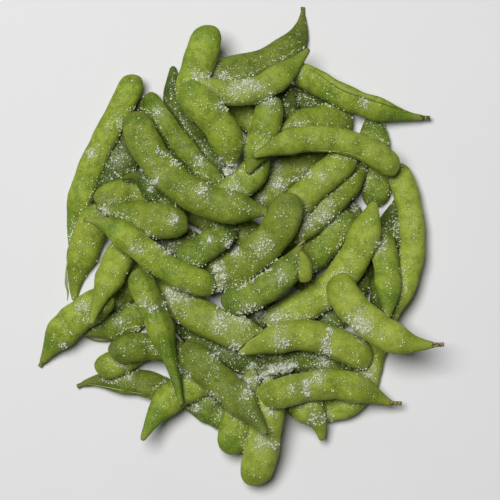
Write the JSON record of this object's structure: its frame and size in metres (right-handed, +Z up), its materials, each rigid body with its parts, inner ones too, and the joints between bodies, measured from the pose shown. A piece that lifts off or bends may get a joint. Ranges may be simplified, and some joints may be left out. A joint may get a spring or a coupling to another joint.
{
  "type": "heap of edamame pods",
  "caption": "Loose heap of boiled green soybean pods, salted and lying across one another, with bean bulges, pointed tips and short stalks.",
  "frame": {"origin": "middle of the heap's footprint, on the surface it lies on", "axes": "+Z up from the surface; +Y along the heap's longest side, towards the back; +X to the right"},
  "size_m": [0.204, 0.2416, 0.0405],
  "materials": {
    "pod_fresh": "soft satin plant skin with short fuzz, mid green",
    "pod_pale": "soft satin plant skin with short fuzz, pale yellow green",
    "pod_deep": "soft satin plant skin with short fuzz, deep green",
    "fuzz": "fine pale hairs",
    "salt": "rough white grains",
    "withered": "dry brown stalk and thread"
  },
  "bodies": {
    "root": {"pod_left_deep_1": "pod_deep", "pod_left_deep_2": "pod_deep", "pod_front_left_stub": "pod_deep", "pod_front_torn_1": "pod_deep", "pod_back_deep_1": "pod_deep", "pod_right_deep_1": "pod_deep", "pod_right_deep_2": "pod_deep", "pod_right_deep_3": "pod_deep", "pod_centre_deep_1": "pod_deep", "pod_centre_deep_2": "pod_deep", "pod_front_deep_1": "pod_deep", "pod_front_deep_2": "pod_deep", "pod_right_deep_4": "pod_pale", "pod_front_deep_3": "pod_pale", "pod_back_deep_2": "pod_deep", "pod_back_deep_3": "pod_fresh", "pod_right_long": "pod_pale", "pod_left_long": "pod_fresh", "pod_left_string": "pod_fresh", "pod_back_stub": "pod_deep", "pod_left_split": "pod_fresh", "pod_front_left_1": "pod_fresh", "pod_front_left_2": "pod_deep", "pod_left_stub_1": "pod_fresh", "pod_front_blunt_1": "pod_fresh", "pod_front_blunt_2": "pod_pale", "pod_front_torn_2": "pod_pale", "pod_back_torn_1": "pod_deep", "pod_back_blunt": "pod_fresh", "pod_centre_slant_3": "pod_fresh", "pod_back_seam_1": "pod_fresh", "pod_centre_salted": "pod_fresh", "pod_back_short_1": "pod_fresh", "pod_back_wide": "pod_fresh", "pod_back_seam_2": "pod_fresh", "pod_centre_slant_1": "pod_fresh", "pod_centre_slant_2": "pod_fresh", "pod_centre_slant_4": "pod_pale", "pod_left_cross_1": "pod_fresh", "pod_left_stub_2": "pod_deep", "pod_left_stub_3": "pod_fresh", "pod_left_torn": "pod_pale", "pod_front_salted": "pod_fresh", "pod_front_torn_3": "pod_fresh", "pod_right_torn": "pod_fresh", "pod_centre_flat": "pod_deep", "pod_centre_long": "pod_fresh", "pod_centre_wide": "pod_fresh", "pod_centre_stub": "pod_fresh", "pod_centre_small": "pod_pale", "pod_right_slant": "pod_pale", "pod_front_slit": "pod_pale", "pod_right_stub": "pod_pale", "pod_front_stub": "pod_fresh", "pod_left_stub_4": "pod_fresh", "pod_front_ridged": "pod_fresh", "pod_front_slant": "pod_deep", "pod_back_cross": "pod_pale", "pod_back_top": "pod_fresh", "pod_back_arch": "pod_pale"}
  },
  "joints": []
}
